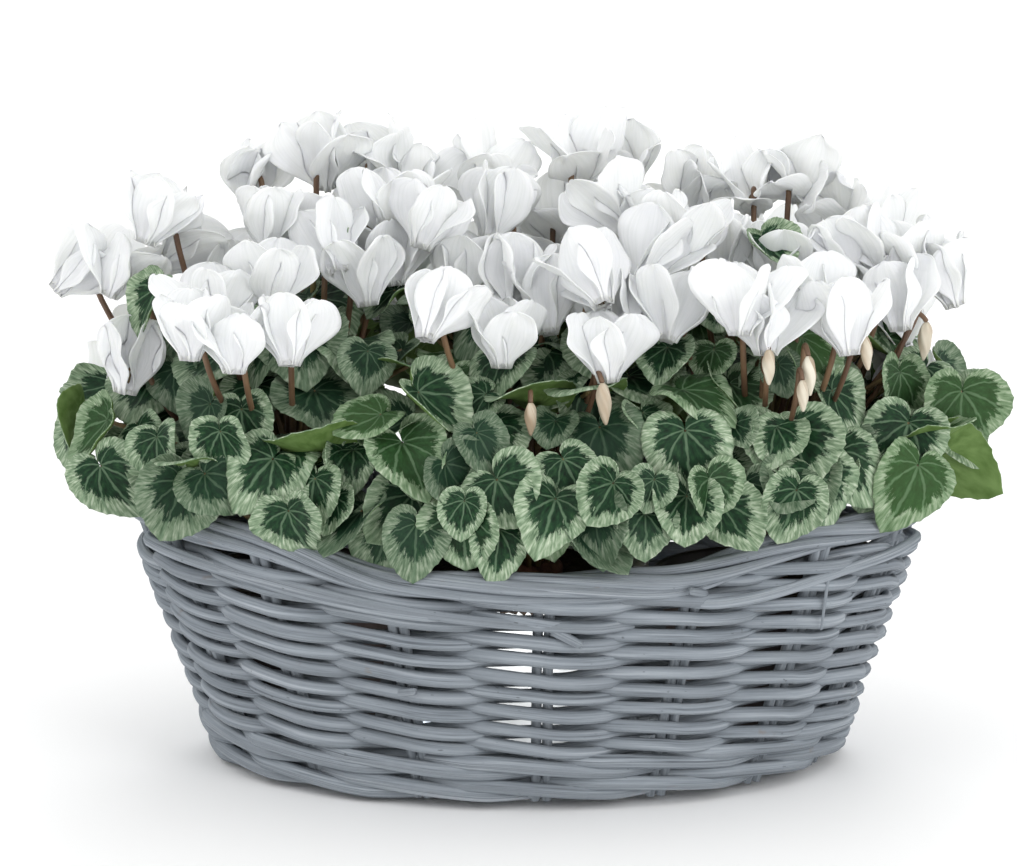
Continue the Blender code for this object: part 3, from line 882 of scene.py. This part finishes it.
# --- Flowers -------------------------------------------------------------------------------
def add_petal(body, origin, axes, turn, lean, twist, length, width):
    """One petal: folded back at the mouth, swept up, creased down its middle and ruffled."""
    along = 1 - (1 - np.linspace(0, 1, 22)) ** 1.5
    across = np.linspace(-1, 1, 15)
    u, v = np.meshgrid(along, across, indexing="ij")
    fold = np.clip(u / 0.14, 0, 1)
    free = np.clip((u - 0.10) / 0.90, 0, 1)
    reach = 0.0022 + 0.0016 * np.sin(fold * np.pi / 2) + length * np.sin(lean) * free
    reach = reach + length * rng.uniform(-0.14, 0.16) * free**2
    broad = 0.25 + 0.75 * smoothstep(0.02, 0.58, u)
    broad = broad * np.sqrt(1 - np.clip((u - 0.60) / 0.403, 0, 1) ** 2.2)
    broad = np.maximum(broad, 0.05)
    half = width * broad
    soft = np.clip(1.4 * broad, 0, 1)
    lift = length * np.cos(lean) * free - 0.0024 * np.sin(fold * np.pi)
    lift = lift + 0.0018 * np.sin(rng.uniform(3, 6) * v + rng.uniform(0, 6)) * u**5 * broad
    crease = -0.0022 * np.exp(-((v / 0.24) ** 2)) * np.sin(np.pi * u)
    curl = rng.uniform(-0.0035, 0.0030) * v**2 * u * soft
    waves = np.sin(rng.uniform(8, 13) * u + 1.5 * v + rng.uniform(0, 6))
    ruffle = 0.0021 * waves * np.abs(v) ** 1.4 * u * soft
    crown = 0.0024 * np.sin(rng.uniform(2.5, 5) * v + rng.uniform(0, 6)) * u**3 * soft
    angle = twist * np.clip(u * 1.6, 0, 1)
    sideways = half * v * np.cos(angle)
    outward = reach + half * v * np.sin(angle) + crease + curl + ruffle + crown
    c, s = np.cos(turn), np.sin(turn)
    local = np.stack([c * outward - s * sideways, s * outward + c * sideways, lift], axis=-1)
    uv = np.stack([u, 0.5 * v], axis=-1)
    body.plate(origin + local @ axes.T, uv, PETAL_THICKNESS)


CUP = np.array([
    (0.0007, 0.0030), (0.0014, 0.0020), (0.0021, -0.0006), (0.0025, 0.0004),
    (0.0028, 0.0036), (0.0022, 0.0070), (0.0011, 0.0086),
])  # radius and height from the mouth


def add_cup(body, origin, axes, slot):
    """The short tube that the petals spring from, closed above by the calyx."""
    turns = np.linspace(0, 2 * np.pi, 20, endpoint=False)
    local = np.stack([
        CUP[:, :1] * np.cos(turns),
        CUP[:, :1] * np.sin(turns),
        np.repeat(CUP[:, 1:], 20, axis=1),
    ], axis=-1)
    uv = np.stack(np.meshgrid(CUP[:, 1], turns * 0.005, indexing="ij"), axis=-1)
    numbers = body.grid(origin + local @ axes.T, uv, slot, wrap=True)
    body.cap(numbers[0, :-1][::-1], slot)
    body.cap(numbers[-1, :-1], slot)


def stalk_path(foot, top, heading, axes, hook):
    """Up from the crown, over in a hook, and down into the top of the nodding head."""
    before = top + hook * 0.9 * axes[:, 2] - hook * 1.1 * heading
    shoulder = top - 2.0 * hook * heading - 0.6 * hook * UP
    lower = shoulder - 0.45 * (shoulder[2] - foot[2]) * UP
    lower = lower - 0.25 * (lower - foot) * [1, 1, 0]
    rise = bezier((foot, foot + 0.45 * (shoulder[2] - foot[2]) * UP, lower, shoulder), 22)
    bend = bezier((shoulder, shoulder + 1.5 * hook * UP, before + 0.5 * hook * UP, top), 12)
    return np.concatenate([rise, bend[1:]])


def head_axes(heading, tilt, spin):
    """A nodding head's axes as columns; the last one points from its mouth to its stalk."""
    up = np.cos(tilt) * UP - np.sin(tilt) * heading
    side = np.cross(up, heading)
    side = side / np.linalg.norm(side)
    front = np.cross(side, up)
    c, s = np.cos(spin), np.sin(spin)
    return np.stack([front * c + side * s, side * c - front * s, up], axis=1)


def crown_foot(plant, heading):
    """Where a flower's stalk leaves the corm."""
    crown = np.array([POTS[plant][0], 0.0, soil_top(plant) + 0.008])
    return crown + 0.005 * heading + rng.normal(0, 0.0025, 3) * [1, 1, 0]


def make_flower(middle):
    """A nodding head about this middle, on a stalk from the crown of its plant."""
    plant, number = next_of("flower", middle)
    level = (middle - [POTS[plant][0], 0, 0]) * [1, 1, 0]
    heading = level / (np.linalg.norm(level) + 1e-6)
    tilt = np.radians(min(6 + abs(rng.normal(0, 22)), 55))
    axes = head_axes(heading, tilt, rng.uniform(0, 2 * np.pi))
    body = Body(rng.uniform(0, 1))
    length, width = rng.uniform(*PETAL_LENGTHS), rng.uniform(*PETAL_HALF_WIDTHS)
    mouth = middle - 0.5 * length * axes[:, 2]
    lean = np.radians(rng.uniform(10, 28))
    twist = rng.choice([-1, 1]) * rng.uniform(0.30, 0.70)
    for petal in range(PETALS):
        turn = 2 * np.pi * petal / PETALS + rng.normal(0, 0.12)
        petal_lean = lean + rng.normal(0, 0.16)
        petal_width = width * rng.uniform(0.88, 1.08)
        add_petal(body, mouth, axes, turn, petal_lean, twist, length, petal_width)
    add_cup(body, mouth, axes, 1)
    top = mouth + 0.0083 * axes[:, 2]
    path = stalk_path(crown_foot(plant, heading), top, heading, axes, 0.0055)
    body.tube(path, np.linspace(*FLOWER_STALK_RADII, len(path)), 8, 2)
    materials = [PETAL, THROAT, FLOWER_STALK]
    node = f"flower_{plant}_{number % FLOWER_NODES + 1}"
    body.build(f"bloom_{plant}_{number:02d}", materials, [node])


def make_bud(place):
    """A closed flower: a pointed, twisted bud that hangs from a hooked stalk."""
    plant, number = next_of("bud", place)
    level = (place - [POTS[plant][0], 0, 0]) * [1, 1, 0]
    heading = level / (np.linalg.norm(level) + 1e-6)
    axes = head_axes(heading, np.radians(rng.uniform(-12, 30)), 0.0)
    length = rng.uniform(*BUD_LENGTHS)
    share = np.linspace(0.02, 0.99, 16)
    radius = length * 0.15 * np.sin(np.pi * share**0.75) ** 0.8 + 0.0004
    turns = np.linspace(0, 2 * np.pi, 20, endpoint=False)
    swirl = turns[None] + 2.2 * share[:, None]
    ridged = radius[:, None] * (1 + 0.09 * np.cos(5 * turns[None]))
    lower = -length * share[:, None] + 0 * swirl
    local = np.stack([ridged * np.cos(swirl), ridged * np.sin(swirl), lower], axis=-1)
    uv = np.stack(np.meshgrid(share * 0.02, turns * 0.004, indexing="ij"), axis=-1)
    body = Body(rng.uniform(0, 1))
    numbers = body.grid(place + local @ axes.T, uv, 0, wrap=True, flip=True)
    body.cap(numbers[0, :-1], 0)
    body.cap(numbers[-1, :-1][::-1], 0)
    path = stalk_path(crown_foot(plant, heading), place, heading, axes, 0.0045)
    body.tube(path, np.linspace(*BUD_STALK_RADII, len(path)), 8, 1)
    body.build(f"bud_{plant}_{number:02d}", [BUD, FLOWER_STALK])


# The heads in view from the front: for each y, the x and height of their middles.
HEADS = {
    0.050: (
        (-0.136, 0.284), (-0.100, 0.293), (-0.076, 0.291), (-0.043, 0.277), (-0.018, 0.285), (0.023, 0.295),
        (0.050, 0.292), (0.089, 0.277), (0.113, 0.276), (0.133, 0.281), (0.151, 0.268), (0.175, 0.259),
    ),
    -0.020: (
        (-0.215, 0.249), (-0.197, 0.252), (-0.176, 0.279), (-0.161, 0.263), (-0.148, 0.251), (-0.124, 0.274),
        (-0.097, 0.261), (-0.072, 0.284), (-0.068, 0.260), (-0.047, 0.274), (-0.010, 0.283), (0.035, 0.282),
        (0.056, 0.276), (0.079, 0.267), (0.099, 0.262), (0.121, 0.258), (0.143, 0.253), (0.163, 0.264),
        (0.182, 0.258), (0.201, 0.250),
    ),
    -0.055: (
        (-0.078, 0.257), (-0.009, 0.256), (0.030, 0.256), (0.011, 0.248), (-0.193, 0.217), (-0.118, 0.254),
        (-0.148, 0.240), (-0.028, 0.262), (0.064, 0.262), (0.131, 0.250), (0.172, 0.246),
    ),
    -0.090: (
        (-0.163, 0.235), (-0.136, 0.233), (-0.112, 0.236), (-0.042, 0.250), (-0.011, 0.236), (0.044, 0.245),
        (0.034, 0.226), (0.073, 0.250), (0.102, 0.254), (0.114, 0.241), (0.155, 0.243),
    ),
}

# Where the buds hang from: x, y and height.
BUD_TOPS = (
    (0.001, -0.108, 0.203), (0.035, -0.105, 0.212), (0.114, -0.104, 0.228), (0.133, -0.100, 0.224),
    (0.130, -0.108, 0.214), (0.160, -0.092, 0.232), (0.193, -0.035, 0.226), (-0.060, 0.100, 0.215),
    (0.080, 0.105, 0.220), (-0.150, 0.070, 0.220), (0.010, 0.110, 0.210),
)


def draw_flower_place():
    """A point behind the heads in view, in a dome that falls away at the ends and to the back."""
    x = rng.uniform(-0.200, 0.195)
    y = rng.uniform(0.000, 0.125) * np.sqrt(1 - (x / 0.235) ** 2)
    top = 0.275 - 0.24 * y - 0.080 * abs(x / 0.21) ** 3.2
    return np.array([x, y, rng.uniform(top - 0.040, top)])


def make_flowers():
    """The heads in view, those behind them and the buds."""
    heads = [np.array([x, y, height]) for y, row in HEADS.items() for x, height in row]
    # A head moved back is lowered too, so that it keeps its place among those seen from the front.
    heads = [head + rng.uniform(-0.024, 0.024) * np.array([0.0, 1.0, -0.24]) for head in heads]
    heads = [head + rng.normal(0, 0.002, 3) for head in heads]
    for head in heads + spaced(HIDDEN_FLOWERS, draw_flower_place, 12, heads):
        make_flower(head)
    for place in BUD_TOPS:
        make_bud(np.array(place))


# --- Studio --------------------------------------------------------------------------------
def area_light(name, place, target, size, power):
    data = bpy.data.lights.new(name, "AREA")
    data.shape = "DISK"
    data.size = size
    data.energy = power
    light = bpy.data.objects.new(name, data)
    light.location = place
    light.visible_camera = False
    light.rotation_euler = (Vector(target) - Vector(place)).to_track_quat("-Z", "Y").to_euler()
    bpy.context.scene.collection.objects.link(light)


def make_studio():
    """A white sheet and a white sky, with soft lamps at the right, at the left and behind."""
    scene = bpy.context.scene
    scene.view_settings.view_transform = "Standard"
    sheet = bpy.data.meshes.new("floor")
    half = 6.0
    corners = [(-half, -half, 0), (half, -half, 0), (half, half, 0), (-half, half, 0)]
    sheet.from_pydata(corners, [], [(0, 1, 2, 3)])
    paper = Shader("paper", 0.9)
    paper.principled.inputs["Base Color"].default_value = (0.97, 0.97, 0.97, 1.0)
    sheet.materials.append(paper.material)
    floor = bpy.data.objects.new("floor", sheet)
    scene.collection.objects.link(floor)
    world = bpy.data.worlds.new("studio")
    world.use_nodes = True
    sky = world.node_tree.nodes["Background"].inputs
    sky["Color"].default_value = (1.0, 1.0, 1.0, 1.0)
    sky["Strength"].default_value = 1.03
    scene.world = world
    target = (0.0, 0.0, 0.15)
    area_light("key", (2.0, -2.5, 1.5), target, 1.6, 25)
    area_light("fill", (-2.0, -2.0, 2.2), target, 2.0, 11)
    area_light("back", (0.3, 2.4, 2.2), target, 1.6, 18)
    # Two small lamps inside the basket light the white middle pot, which shows through the weave.
    for x in (-0.035, 0.030):
        area_light("daylight_through_weave", (x, -0.097, 0.060), (x, 0.0, 0.054), 0.05, 0.045)


def make_camera():
    """A long lens, a little above the basket."""
    distance, elevation = 3.5, np.radians(13.5)
    target = Vector((-0.0093, 0.0, 0.162))
    data = bpy.data.cameras.new("camera")
    data.sensor_width = 36.0
    data.lens = 252.0
    camera = bpy.data.objects.new("camera", data)
    camera.location = target + distance * Vector((0.0, -np.cos(elevation), np.sin(elevation)))
    camera.rotation_euler = (target - camera.location).to_track_quat("-Z", "Y").to_euler()
    bpy.context.scene.collection.objects.link(camera)
    bpy.context.scene.camera = camera


make_side()
make_base()
make_border()
loose_rods()
for plant_name in POTS:
    make_pot(plant_name, WHITE_PLASTIC if plant_name == "middle" else DARK_PLASTIC)
    make_compost(plant_name)
    make_corm(plant_name)
make_leaves()
make_flowers()
make_studio()
make_camera()
